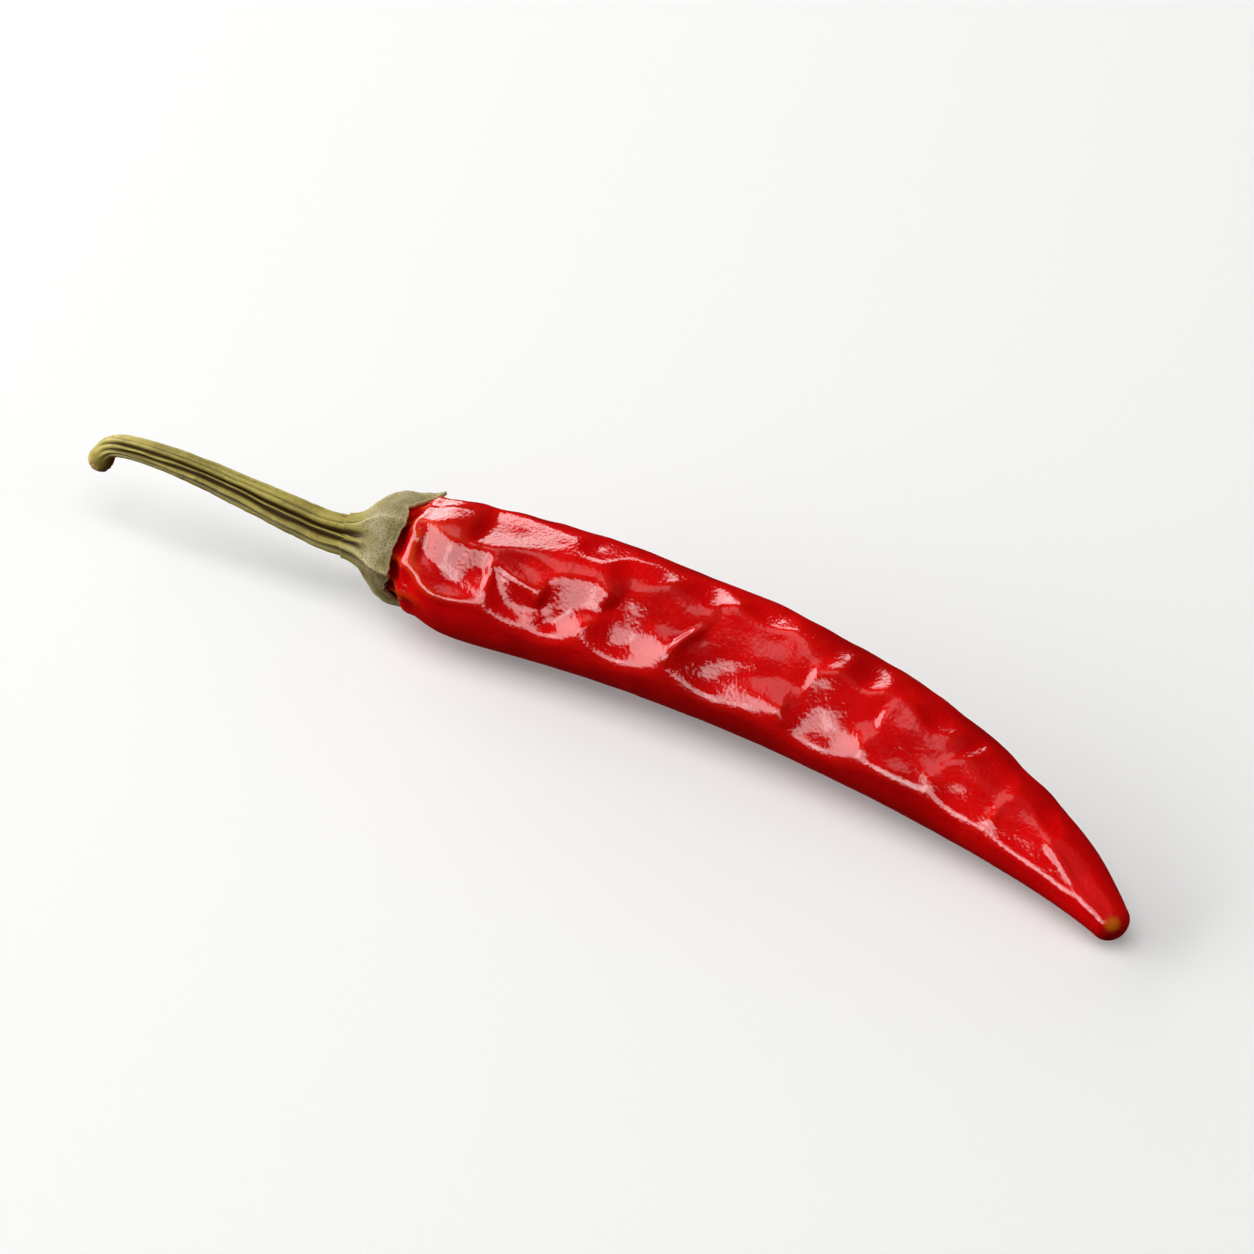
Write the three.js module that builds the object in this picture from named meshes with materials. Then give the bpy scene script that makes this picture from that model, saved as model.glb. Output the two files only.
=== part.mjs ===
// A dried red chilli pepper lying on its belly: the pod, the calyx that clasps its neck, and the stalk.
//
// Each piece is a straight lathe turning that is then bent along one shared spine. The spine runs from the
// knob at the end of the stalk, through the calyx, to the tip of the pod. A station is a distance along it:
// 0 at the tips of the calyx's teeth, positive towards the pod's tip, negative towards the stalk. An angle
// round the spine is 0 on the side that faces -Y, and a quarter turn is upwards.
//
// Millimetres, +Z up, the pod's tip towards +X. The origin is the middle of the footprint, on the table.
import * as THREE from "three";

const { clamp, degToRad, lerp, radToDeg, smoothstep } = THREE.MathUtils;

// Driving dimensions, in millimetres.
const POD_LENGTH = 64; // from the calyx's teeth to the tip
const POD_WIDTH = 10.6; // across its fullest part
const NECK_WIDTH = 7.0; // where the calyx clasps it
const NECK_DEPTH = 2.7; // how far the neck reaches into the calyx
const SHOULDER_LENGTH = 2.2; // over which the neck swells into the pod
const SHOULDER_START = 0.5; // how far behind the teeth the swelling starts
const CALYX_WALL = 0.45; // thickness of the cup
const CALYX_BACK = 2.2; // solid material between the cup's floor and the stalk
const TOOTH_LENGTH = 1.5; // how far a tooth reaches past the rim between two teeth
const STALK_LENGTH = 22.5;
const STALK_ROOT_WIDTH = 3.3; // where the stalk meets the calyx
const STALK_WIDTH = 1.4; // just before the knob
const HOOK_LENGTH = 3.6; // of the stalk's end that bends over
const KNOB_WIDTH = 2.0;
const TIP_WIDTH = 2.4; // of the round end of the pod
const FIT_GAP = 0.3; // left between pieces that touch
const BELLY_PRESS = 0.3; // how far the belly is pressed flat by lying on the table
const TIP_LIFT = 0.6; // how far the tip's underside stands off the table

// How the spine bends, in degrees.
const NECK_HEADING = 14; // to the left of +X, where the pod starts
const POD_BEND = 33; // turned evenly from the neck to the tip
const TIP_BEND = 8; // turned over the last third as well
const STALK_BEND = 9; // turned back through the calyx
const STALK_CLIMB = 8; // upwards, away from the calyx
const STALK_ARCH = 16; // over the outer half of the stalk, before the hook
const HOOK_BEND = 100; // downwards at the stalk's end

// Shape of the pod's outline and section, and of the calyx's rim.
const TAPER_POWER = 3.8; // how long the pod stays full before it narrows
const DOME_POWER = 3; // of the neck's rounded end: 2 is an ellipse, more is squarer
const STALK_TAPER_POWER = 1.3; // how long the stalk stays thin before it thickens
const RIDGES = 3; // lengthways ridges, one for each inner wall
const RIDGE_ANGLE = degToRad(12); // of the first ridge, above the side that faces -Y
const RIDGE_TWIST = degToRad(14); // that the ridges wind round the pod, down to the tip
const RIDGE_HEIGHT = 0.22;
const TEETH = 6;
const TOOTH_ANGLE = degToRad(11); // of the first tooth, above the side that faces -Y

// Fineness of the meshes.
const POD_SIDES = 36;
const POD_STATIONS = 60;
const TIP_STATIONS = 5;
const DOME_STATIONS = 6;
const CALYX_SIDES = 8 * TEETH;
const STALK_SIDES = 14;
const STALK_STATIONS = 40;
const SPINE_STEP = 0.25;

// Places along the spine that follow from the dimensions.
const NECK_END = -NECK_DEPTH;
const CUP_FLOOR = NECK_END - FIT_GAP;
const CALYX_END = CUP_FLOOR - CALYX_BACK;
const STALK_START = CALYX_END - FIT_GAP;
const STALK_END = STALK_START - STALK_LENGTH;
const ARCH_START = STALK_START - STALK_LENGTH * 0.4;
const BEND_END = CALYX_END * 1.5; // where the stalk has turned and climbed away from the pod
const TIP_START = POD_LENGTH - TIP_WIDTH / 2;
const FULLEST = POD_LENGTH * 0.25;
const LIFT_START = POD_LENGTH * 0.7; // where the last stretch lifts and bends more

// ---- The spine ----

// How full a domed end is, from 1 at its foot to 0 at its pole, a share of the way along it.
function domed(share) {
  return (1 - clamp(share, 0, 1) ** DOME_POWER) ** (1 / DOME_POWER);
}

// The half width of the neck and shoulder, without the dome that ends the neck.
function shoulderRadius(station) {
  const swelling = Math.max(station + SHOULDER_START, 0) / SHOULDER_LENGTH;
  return lerp(POD_WIDTH, NECK_WIDTH, Math.exp(-(swelling ** 1.6))) / 2;
}

// The pod's half width at a station, before its ridges. A domed neck swells to a shoulder, which leads to a
// long taper and a round tip.
function podRadius(station) {
  const full = shoulderRadius(station) * domed(station / NECK_END);
  const share = clamp(station / POD_LENGTH, 0, 1);
  const tapered = lerp(full, TIP_WIDTH / 2, share ** TAPER_POWER);
  const round = clamp((station - TIP_START) / (POD_LENGTH - TIP_START), 0, 1);
  return tapered * Math.sqrt(1 - round ** 2);
}

// The spine's height over the table that lays the belly on it, all along the pod. It stays level up to the
// fullest part, so that the shoulder and the calyx hang clear.
function bellyHeight(station) {
  const radius = podRadius(clamp(station, FULLEST, TIP_START));
  const lift = TIP_LIFT * smoothstep(station, LIFT_START, POD_LENGTH) ** 2;
  return radius - BELLY_PRESS + lift;
}

// Which way the spine points on the table, in degrees to the left of +X.
function heading(station) {
  if (station < 0) return NECK_HEADING - STALK_BEND * smoothstep(-station, 0, -BEND_END);
  const bent = POD_BEND * (station / POD_LENGTH) + TIP_BEND * smoothstep(station, LIFT_START, POD_LENGTH);
  return NECK_HEADING - bent;
}

// How steeply the spine rises towards the tip, in degrees.
function pitch(station) {
  if (station >= 0) {
    const rise = bellyHeight(station + SPINE_STEP) - bellyHeight(station - SPINE_STEP);
    return radToDeg(Math.atan2(rise, 2 * SPINE_STEP));
  }
  const climbing = smoothstep(-station, -CUP_FLOOR, -BEND_END);
  const arching = smoothstep(-station, -ARCH_START, -STALK_END);
  const hooking = clamp((STALK_END + HOOK_LENGTH - station) / HOOK_LENGTH, 0, 1);
  return HOOK_BEND * hooking + STALK_ARCH * arching - STALK_CLIMB * climbing;
}

// The directions along, beside and above the spine at a station.
function directions(station) {
  const turn = degToRad(heading(station));
  const rise = degToRad(pitch(station));
  const level = new THREE.Vector3(Math.cos(turn), Math.sin(turn), 0);
  const along = level.multiplyScalar(Math.cos(rise)).setZ(Math.sin(rise));
  const side = new THREE.Vector3(Math.sin(turn), -Math.cos(turn), 0);
  return { along, side, up: side.clone().cross(along) };
}

// The spine's points a step apart, walked from station 0 to an end.
function walk(end) {
  const step = Math.sign(end) * SPINE_STEP;
  const points = [new THREE.Vector3(0, 0, bellyHeight(0))];
  for (let station = 0; Math.abs(station) < Math.abs(end) + SPINE_STEP; station += step)
    points.push(points.at(-1).clone().addScaledVector(directions(station + step / 2).along, step));
  return points;
}

const towardsTip = walk(POD_LENGTH);
const towardsKnob = walk(STALK_END);

function spinePoint(station) {
  const points = station < 0 ? towardsKnob : towardsTip;
  const place = Math.abs(station) / SPINE_STEP;
  const before = Math.floor(place);
  return points[before].clone().lerp(points[before + 1], place - before);
}

// ---- Turning and bending ----

// A lathe turning of a profile of (half width, station) points, bent along the spine. reshape changes a point
// of the turning, given as its half width, its station and its angle round the spine.
function bentTurning(profile, sides, reshape = (point) => point) {
  const geometry = new THREE.LatheGeometry(profile, sides);
  const position = geometry.getAttribute("position");
  for (let i = 0; i < position.count; i++) {
    const [x, y, z] = [position.getX(i), position.getY(i), position.getZ(i)];
    const { radius, station, angle } = reshape({
      radius: Math.hypot(x, z),
      station: y,
      angle: Math.atan2(z, x),
    });
    const { side, up } = directions(station);
    const place = spinePoint(station)
      .addScaledVector(side, radius * Math.cos(angle))
      .addScaledVector(up, radius * Math.sin(angle));
    position.setXYZ(i, place.x, place.y, Math.max(place.z, 0)); // nothing sinks into the table
  }
  geometry.computeVertexNormals();
  return geometry;
}

const at = (radius, station) => new THREE.Vector2(radius, station);

// count + 1 stations from one to another, evenly spaced.
function stations(from, to, count) {
  return Array.from({ length: count + 1 }, (_, i) => lerp(from, to, i / count));
}

// Stations over a domed end from its foot at 0 to its pole, closer together towards the pole.
function domeStations(pole) {
  return stations(0, Math.PI / 2, DOME_STATIONS).map((turn) => pole * Math.sin(turn));
}

function mesh(name, geometry, color, roughness) {
  const made = new THREE.Mesh(geometry, new THREE.MeshStandardMaterial({ color, roughness, metalness: 0 }));
  made.name = name;
  return made;
}

// ---- The pieces ----

function makePod() {
  const neck = domeStations(NECK_END).slice(1, -1).reverse();
  const skin = stations(0, TIP_START, POD_STATIONS);
  // Round the tip the stations are a quarter circle's, and the last one is the pole itself.
  const cap = stations(0, Math.PI / 2, TIP_STATIONS)
    .slice(1, -1)
    .map((turn) => lerp(TIP_START, POD_LENGTH, Math.sin(turn)));
  const outline = [...neck, ...skin, ...cap].map((s) => at(podRadius(s), s));
  const profile = [at(0, NECK_END), ...outline, at(0, POD_LENGTH)];

  // The ridges fade out at the neck and towards the tip, and wind a little round the pod.
  const ridged = ({ radius, station, angle }) => {
    const share = clamp(station / POD_LENGTH, 0, 1);
    const strength = smoothstep(share, 0.01, 0.12) * (1 - smoothstep(share, 0.75, 1));
    const crest = RIDGE_ANGLE - RIDGE_TWIST * share;
    const height = RIDGE_HEIGHT * strength * (Math.cos(RIDGES * (angle - crest)) - 0.2);
    return { radius: radius + height, station, angle };
  };
  return mesh("pod", bentTurning(profile, POD_SIDES, ridged), 0xb40d0a, 0.25);
}

function makeCalyx() {
  // The cup is domed inside as the neck is, and stays clear of it.
  const cupRadius = (station) => (shoulderRadius(station) + FIT_GAP) * domed(station / CUP_FLOOR);
  const root = STALK_ROOT_WIDTH / 2;
  const rimOuter = cupRadius(0) + CALYX_WALL * 0.7;
  // The outside flares from the stalk's width like a bell and then runs straight to the teeth.
  const flare = stations(CALYX_END, 0, 10).map((s) => {
    const share = (s - CALYX_END) / -CALYX_END;
    return at(lerp(root, rimOuter, smoothstep(share, -0.15, 0.85) ** 0.9), s);
  });
  const inside = domeStations(CUP_FLOOR).map((s) => at(cupRadius(s), s));
  const profile = [at(0, CALYX_END), ...flare, ...inside];

  // Between the teeth the rim is drawn back in an arc.
  const toothed = ({ radius, station, angle }) => {
    const arc = Math.abs(Math.sin((TEETH * (angle - TOOTH_ANGLE)) / 2)) ** 0.8;
    const share = smoothstep(station, CUP_FLOOR, 0);
    return { radius, station: station - TOOTH_LENGTH * arc * share, angle };
  };
  return mesh("calyx", bentTurning(profile, CALYX_SIDES, toothed), 0x7f8444, 0.7);
}

function makeStalk() {
  const knobLength = KNOB_WIDTH * 0.8;
  const neckOfKnob = STALK_END + knobLength;
  const shaft = stations(neckOfKnob, STALK_START, STALK_STATIONS).map((s) => {
    const share = (s - neckOfKnob) / (STALK_START - neckOfKnob);
    return at(lerp(STALK_WIDTH, STALK_ROOT_WIDTH, share ** STALK_TAPER_POWER) / 2, s);
  });
  const knob = [0.2, 0.4, 0.6, 0.8].map((share) => {
    const round = Math.sqrt(1 - (2 * share - 0.9) ** 2);
    return at(Math.max(STALK_WIDTH, KNOB_WIDTH * round) / 2, STALK_END + knobLength * share);
  });
  const scar = at(KNOB_WIDTH * 0.28, STALK_END); // the flat end where the stalk came off the plant
  const profile = [at(0, STALK_END), scar, ...knob, ...shaft, at(0, STALK_START)];
  return mesh("stalk", bentTurning(profile, STALK_SIDES), 0x97973f, 0.65);
}

// ---- The whole pepper ----

const pepper = new THREE.Group();
pepper.add(makePod(), makeCalyx(), makeStalk());

// The origin goes to the middle of the footprint. The belly already lies at height 0.
const middle = new THREE.Box3().setFromObject(pepper).getCenter(new THREE.Vector3());
pepper.children.forEach((piece) => piece.position.set(-middle.x, -middle.y, 0));

export default pepper;
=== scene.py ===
# %% [markdown]
# # A dried red chilli pepper
#
# The pepper has three pieces: the wrinkled pod, the calyx that clasps its neck, and the ribbed stalk. Their
# sizes and places were settled when the model was packed, so this lesson starts from those plain solids and
# gives each one the surface of the real thing.
#
# All three pieces share one idea. A bent thing is hard to carve and a straight one is easy, so each piece is
# made straight and is then laid along the pepper's spine. Lengths below are in millimetres, because that is
# how a chilli is measured, and they become Blender's metres when a mesh is made.

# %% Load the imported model
import math
from functools import partialmethod

import bpy
import numpy as np
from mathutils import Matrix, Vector


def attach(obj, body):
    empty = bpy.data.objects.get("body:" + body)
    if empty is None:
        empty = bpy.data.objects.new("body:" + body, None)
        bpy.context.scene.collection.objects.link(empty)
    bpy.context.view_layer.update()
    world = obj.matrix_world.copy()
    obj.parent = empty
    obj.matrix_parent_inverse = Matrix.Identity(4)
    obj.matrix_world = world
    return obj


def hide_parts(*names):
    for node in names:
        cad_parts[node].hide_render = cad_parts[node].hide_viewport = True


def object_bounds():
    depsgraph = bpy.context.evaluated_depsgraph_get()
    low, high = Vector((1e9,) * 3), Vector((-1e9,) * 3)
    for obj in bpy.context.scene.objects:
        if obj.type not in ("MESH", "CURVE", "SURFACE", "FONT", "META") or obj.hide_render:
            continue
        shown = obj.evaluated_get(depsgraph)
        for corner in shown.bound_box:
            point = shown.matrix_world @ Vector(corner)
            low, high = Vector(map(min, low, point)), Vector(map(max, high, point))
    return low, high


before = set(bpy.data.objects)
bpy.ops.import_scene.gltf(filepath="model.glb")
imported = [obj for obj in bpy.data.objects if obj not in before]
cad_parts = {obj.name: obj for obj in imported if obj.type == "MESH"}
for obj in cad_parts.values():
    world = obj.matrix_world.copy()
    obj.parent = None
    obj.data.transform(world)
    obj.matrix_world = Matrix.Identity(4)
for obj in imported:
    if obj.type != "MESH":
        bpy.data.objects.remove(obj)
cad_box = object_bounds()
MM = 0.001
print("packed solids:", ", ".join(sorted(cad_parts)))

# %% [markdown]
# ## Finding the spine
#
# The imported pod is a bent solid, and what is needed is the curve down its middle. It could be written out
# by hand, but then it would be wrong whenever the model changes. Walking through the solid is safer: cut it
# across, take the middle of the cut, step forward in the direction that the middles give, and cut again.

# %% Read a solid's triangles
def triangles_of(node):
    """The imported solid's triangles as an array of corners, in millimetres."""
    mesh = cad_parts[node].data
    mesh.calc_loop_triangles()
    corners = np.empty(len(mesh.vertices) * 3)
    mesh.vertices.foreach_get("co", corners)
    order = np.empty(len(mesh.loop_triangles) * 3, dtype=int)
    mesh.loop_triangles.foreach_get("vertices", order)
    return corners.reshape(-1, 3)[order].reshape(-1, 3, 3) / MM


for node in sorted(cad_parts):
    print(f"{node}: {len(triangles_of(node))} triangles")

# %% Cut a solid across
STEEP = 0.5  # how far a unit step may climb before the spine counts as upright
FEWEST_CROSSINGS = 6  # of triangle sides: with fewer, the cut is past the solid's end


def unit(vector):
    return vector / np.linalg.norm(vector)


def level_side(along, side):
    """The level direction beside the spine. Where the spine stands upright, it keeps the side it had."""
    if abs(along[2]) < STEEP:
        return unit(np.cross(along, (0, 0, 1)))
    return unit(side - along * np.dot(side, along))


def cut_across(triangles, point, along, side, reach):
    """The middle and the half width of the cut through a solid, or None past its end."""
    heights = (triangles - point) @ along
    cuts = []
    for first, second in ((0, 1), (1, 2), (2, 0)):
        crosses = (heights[:, first] > 0) != (heights[:, second] > 0)
        low, high = heights[crosses, first], heights[crosses, second]
        share = (low / (low - high))[:, None]
        cuts.append(triangles[crosses, first] * (1 - share) + triangles[crosses, second] * share)
    cuts = np.concatenate(cuts) - point
    cuts = cuts[np.linalg.norm(cuts, axis=1) < reach]
    if len(cuts) < FEWEST_CROSSINGS:
        return None
    beside, above = cuts @ side, cuts @ np.cross(side, along)
    half = (beside.max() - beside.min()) / 2
    middle = point + side * (beside.max() + beside.min()) / 2
    # The underside may be pressed flat, so the middle is measured down from the top.
    return middle + np.cross(side, along) * (above.max() - half), half


# %% Walk through the pod and the stalk
WALK_STEP = 0.5
INSET = 0.3  # of the first cut from the solid's end
CORNERS_TO_AN_END = 60  # one corner in so many lies on the solid's end face


def walk_through(node, start, towards, reach):
    """The middles and half widths of the cuts through a solid, a step apart."""
    triangles = triangles_of(node)
    point, along = np.array(start), unit(np.array(towards, dtype=float))
    side = level_side(along, None)
    middles, halves = [], []
    while (cut := cut_across(triangles, point, along, side, reach)) is not None:
        middles.append(cut[0])
        halves.append(cut[1])
        if len(middles) > 1:
            along = unit(along + unit(middles[-1] - middles[-2]))
            side = level_side(along, side)
        point = middles[-1] + along * WALK_STEP
    ends = triangles.reshape(-1, 3)
    near = ends[np.linalg.norm(ends - middles[-1], axis=1) < reach]
    last = middles[-1] + along * ((near - middles[-1]) @ along).max()
    return np.array(middles + [last]), np.array(halves + [0.0])


def end_middle(node, at_low_x):
    """The middle of a solid's end face, which is near its lowest or its highest X."""
    corners = triangles_of(node).reshape(-1, 3)
    order = np.argsort(corners[:, 0] if at_low_x else -corners[:, 0])
    end = corners[order[: len(corners) // CORNERS_TO_AN_END]]
    return (end.min(axis=0) + end.max(axis=0)) / 2


pod_start = end_middle("pod", at_low_x=True) + (INSET, 0, 0)
stalk_start = end_middle("stalk", at_low_x=False) - (INSET, 0, 0)
pod_walk, pod_halves = walk_through("pod", pod_start, (1, 0, 0), reach=8)
stalk_walk, stalk_halves = walk_through("stalk", stalk_start, (-1, 0, 0), reach=2.6)
print(f"pod: {len(pod_walk)} cuts, up to {2 * pod_halves.max():.1f} mm wide")
print(f"stalk: {len(stalk_walk)} cuts, {2 * stalk_halves[0]:.1f} mm wide at its root")

# %% [markdown]
# The two walks join into one spine. Along it, a place is given by its station, which is a distance in
# millimetres: 0 at the tips of the calyx's teeth, positive towards the pod's tip, negative towards the stalk.
# An angle of 0 faces the front, -Y, and 90 degrees is the top.

# %% Join the walks into one spine
SPINE_STEP = 0.25


def smoothed(values, passes):
    """Values along a line, each drawn towards the mean of its neighbours."""
    for _ in range(passes):
        values[1:-1] = values[1:-1] / 2 + (values[:-2] + values[2:]) / 4
    return values


joined = smoothed(np.concatenate([stalk_walk[::-1], pod_walk[1:]]), passes=3)
halves = np.concatenate([stalk_halves[::-1], pod_halves[1:]])
length = np.concatenate([[0], np.cumsum(np.linalg.norm(np.diff(joined, axis=0), axis=1))])
station_rows = np.arange(0, length[-1], SPINE_STEP)
spine_points = np.stack([np.interp(station_rows, length, joined[:, axis]) for axis in range(3)], axis=1)
spine_points = smoothed(spine_points, passes=6)
spine_halves = np.interp(station_rows, length, halves)


def nearest_row(point):
    """The row of the spine that is nearest to a point."""
    return np.linalg.norm(spine_points - point, axis=1).argmin()


calyx_rows = [nearest_row(triangle[0]) for triangle in triangles_of("calyx")]
station_rows = station_rows - station_rows[max(calyx_rows)]
CALYX_BACK = float(station_rows[min(calyx_rows)])
POD_TIP = station_rows[-1]
NECK_END = station_rows[nearest_row(pod_walk[0])] - INSET
STALK_END = float(station_rows[0])
STALK_ROOT = float(station_rows[nearest_row(stalk_walk[0])] + INSET)
print(f"stations: knob {STALK_END:.1f}, stalk's root {STALK_ROOT:.1f}, calyx's back {CALYX_BACK:.1f},")
print(f"  neck's end {NECK_END:.1f}, teeth 0, tip {POD_TIP:.1f}")

# %% [markdown]
# Geometry Nodes will read the spine, so it becomes a line of vertices. Each one carries the level direction
# beside it, so that no piece twists as it is laid along the hook at the stalk's end.

# %% Make the spine an object
def add_object(name, data):
    """A new object in the scene, at the origin."""
    made = bpy.data.objects.new(name, data)
    bpy.context.scene.collection.objects.link(made)
    return made


def make_spine():
    alongs = np.gradient(spine_points, axis=0)
    neck = int(np.argmin(np.abs(station_rows)))
    sides = np.zeros_like(spine_points)
    side = level_side(unit(alongs[neck]), None)
    for rows in (range(neck, len(alongs)), range(neck, -1, -1)):
        for row in rows:
            side = level_side(unit(alongs[row]), side if row != neck else None)
            sides[row] = side
    mesh = bpy.data.meshes.new("spine")
    mesh.from_pydata((spine_points * MM).tolist(), [(i, i + 1) for i in range(len(spine_points) - 1)], [])
    mesh.attributes.new("side", "FLOAT_VECTOR", "POINT").data.foreach_set("vector", sides.ravel())
    return add_object("spine", mesh)


spine = make_spine()
print(f"spine: {len(spine.data.vertices)} vertices, {station_rows[-1] - station_rows[0]:.1f} mm long")

# %% [markdown]
# ## Laying a straight piece along the spine
#
# A straight piece has its stations along X, its front at -Y and its top at +Z. One node group bends any such
# piece: it looks up the spine's point and side at each vertex's station and puts the vertex beside and above
# that point. A Curve modifier could bend a mesh too, but it would wring the stalk at the steep hook.

# %% Helpers for node trees
def add_node(tree, kind, inputs=(), **settings):
    """A node with its settings made and its inputs linked or filled, by number or by name."""
    made = tree.nodes.new(kind)
    for name, value in settings.items():
        setattr(made, name, value)
    for key, value in dict(inputs).items():
        value = value.socket if isinstance(value, Field) else value
        if isinstance(value, bpy.types.NodeSocket):
            tree.links.new(value, made.inputs[key])
        else:
            made.inputs[key].default_value = value
    return made


class Field:
    """A number that varies over a surface. Sums written on it become Math nodes in its tree."""

    def __init__(self, tree, socket):
        self.tree, self.socket = tree, socket

    def apply(self, operation, *others):
        inputs = dict(enumerate((self, *others)))
        return Field(self.tree, add_node(self.tree, "ShaderNodeMath", inputs, operation=operation).outputs[0])

    def __rsub__(self, other):
        return self * -1.0 + other

    def wrapped(self, half=math.pi):
        """An angle brought between minus and plus half a turn, or another half width."""
        return self.apply("WRAP", half, -half)

    def between(self, low, high, new_low=0.0, new_high=1.0):
        """The field's share of the way between two values, eased at both ends."""
        inputs = {0: self, 1: low, 2: high, 3: new_low, 4: new_high}
        kind = {"interpolation_type": "SMOOTHSTEP"}
        return Field(self.tree, add_node(self.tree, "ShaderNodeMapRange", inputs, **kind).outputs[0])

    def bell(self, width):
        """1 where the field is 0, falling to nothing a few widths away."""
        scaled = self / width
        return (scaled * scaled * -1.0).apply("EXPONENT")


MATHS = {
    "__add__": "ADD", "__sub__": "SUBTRACT", "__mul__": "MULTIPLY", "__truediv__": "DIVIDE",
    "__pow__": "POWER", "cosine": "COSINE", "sine": "SINE", "size": "ABSOLUTE",
    "at_least": "MAXIMUM", "at_most": "MINIMUM",
}
for name, operation in MATHS.items():
    setattr(Field, name, partialmethod(Field.apply, operation))


def total_of(fields):
    return sum(fields[1:], fields[0])


def parts_of(tree, vector):
    """A vector's x, y and z as fields."""
    return [Field(tree, part) for part in add_node(tree, "ShaderNodeSeparateXYZ", {0: vector}).outputs]


def vector_maths(tree, operation, first, second):
    key = 3 if operation == "SCALE" else 1
    return add_node(tree, "ShaderNodeVectorMath", {0: first, key: second}, operation=operation).outputs[0]


def start_tree(name, **sizes):
    """A tree, the geometry that goes in, and its named sizes as fields."""
    tree = bpy.data.node_groups.new(name, "GeometryNodeTree")
    for way in ("INPUT", "OUTPUT"):
        tree.interface.new_socket("Geometry", in_out=way, socket_type="NodeSocketGeometry")
    for label, value in sizes.items():
        socket = tree.interface.new_socket(label, in_out="INPUT", socket_type="NodeSocketFloat")
        socket.default_value = value
    given = tree.nodes.new("NodeGroupInput").outputs
    return tree, given[0], [Field(tree, given[label]) for label in sizes]


def end_tree(tree, geometry, material):
    """Realizes what is left as instances, puts the material on, and closes the tree."""
    real = add_node(tree, "GeometryNodeRealizeInstances", {0: geometry}).outputs[0]
    painted = add_node(tree, "GeometryNodeSetMaterial", {0: real, "Material": material}).outputs[0]
    add_node(tree, "NodeGroupOutput", {0: painted})


# %% The group that lays a piece along the spine
def lay_along_spine():
    tree, straight, _ = start_tree("lay along the spine")
    line = add_node(tree, "GeometryNodeObjectInfo", {"Object": spine}).outputs["Geometry"]
    curve = add_node(tree, "GeometryNodeMeshToCurve", {0: line}).outputs[0]
    side = add_node(tree, "GeometryNodeInputNamedAttribute", {"Name": "side"}, data_type="FLOAT_VECTOR")
    x, y, z = parts_of(tree, add_node(tree, "GeometryNodeInputPosition").outputs[0])
    look_up = {"Curves": curve, "Value": side.outputs[0], "Length": x - STALK_END * MM}
    settings = {"mode": "LENGTH", "use_all_curves": True, "data_type": "FLOAT_VECTOR"}
    found = add_node(tree, "GeometryNodeSampleCurve", look_up, **settings).outputs
    above = vector_maths(tree, "CROSS_PRODUCT", found["Value"], found["Tangent"])
    front = vector_maths(tree, "SCALE", found["Value"], y * -1.0)
    top = vector_maths(tree, "SCALE", above, z)
    laid = vector_maths(tree, "ADD", found["Position"], vector_maths(tree, "ADD", front, top))
    x, y, z = parts_of(tree, laid)
    # Nothing sinks into the table.
    resting = add_node(tree, "ShaderNodeCombineXYZ", {0: x, 1: y, 2: z.at_least(0.0)})
    bent = add_node(tree, "GeometryNodeSetPosition", {0: straight, "Position": resting.outputs[0]})
    add_node(tree, "NodeGroupOutput", {0: bent.outputs[0]})
    return tree


laying = lay_along_spine()


def laid(tree, geometry):
    """The geometry after the laying group."""
    return add_node(tree, "GeometryNodeGroup", {0: geometry}, node_tree=laying).outputs[0]


# %% Turn a tree's result into a plain mesh
def grown(name, tree, base, **sizes):
    """A plain mesh object of what the tree makes from the base object, with these sizes."""
    modifier = base.modifiers.new("shape", "NODES")
    modifier.node_group = tree
    for socket in tree.interface.items_tree:
        if socket.in_out == "INPUT" and socket.name in sizes:
            modifier[socket.identifier] = sizes[socket.name]
    evaluated = base.evaluated_get(bpy.context.evaluated_depsgraph_get())
    mesh = bpy.data.meshes.new_from_object(evaluated)
    mesh.name = name
    piece = add_object(name, mesh)
    bpy.data.objects.remove(base)
    mesh.polygons.foreach_set("use_smooth", [True] * len(mesh.polygons))
    print(f"{name}: {len(mesh.polygons)} faces")
    return piece


# %% [markdown]
# ## The pod's skin
#
# A fresh chilli is a smooth, taut bag. As it dries it loses air and water but hardly any skin, so the skin
# buckles inwards. Three inner walls hold it out along lengthways creases, and between these it sinks into a
# row of cells. Each cell drops sharply at one end and rises gently to the other, like a row of low waves.
#
# Sculpting by hand would work, and so would a cloth simulation of the shrinking. Adding up creases and cells
# as formulas was chosen, because each can then be put where it belongs, and the lines where they meet come
# out crisp. Those lines are what break up the highlights on a dried chilli.

# %% The pod's grid
POD_SIDES = 216
RING_GAP = 0.157
CAP_RINGS = 12
CAP_LENGTH = 1.2
FIRST_RING = NECK_END + 0.02
MARGIN = 0.97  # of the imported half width, which leaves room for the crests

rings = np.arange(FIRST_RING, POD_TIP - CAP_LENGTH, RING_GAP)
quarter = np.linspace(0, math.pi / 2, CAP_RINGS + 1)[1:-1]
rings = np.concatenate([rings, POD_TIP - CAP_LENGTH * (1 - np.sin(quarter))])
angles = np.linspace(0, 2 * math.pi, POD_SIDES, endpoint=False)
ring_halves = np.interp(rings, station_rows, spine_halves)
cap_start = len(rings) - len(quarter)
ring_halves[cap_start:] = ring_halves[cap_start - 1] * np.cos(quarter)
ring_halves = smoothed(ring_halves, passes=4) * MARGIN
S, A = np.meshgrid(rings, angles, indexing="ij")
R = np.repeat(ring_halves[:, None], POD_SIDES, axis=1)
print(f"pod grid: {len(rings)} rings of {POD_SIDES}")


# %% Ripples and soft sums
WAVES = 14
PEAKS = 1.2  # how far the sum of so many waves goes past the square root of their number
SOFT_CORNER = 0.12


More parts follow.
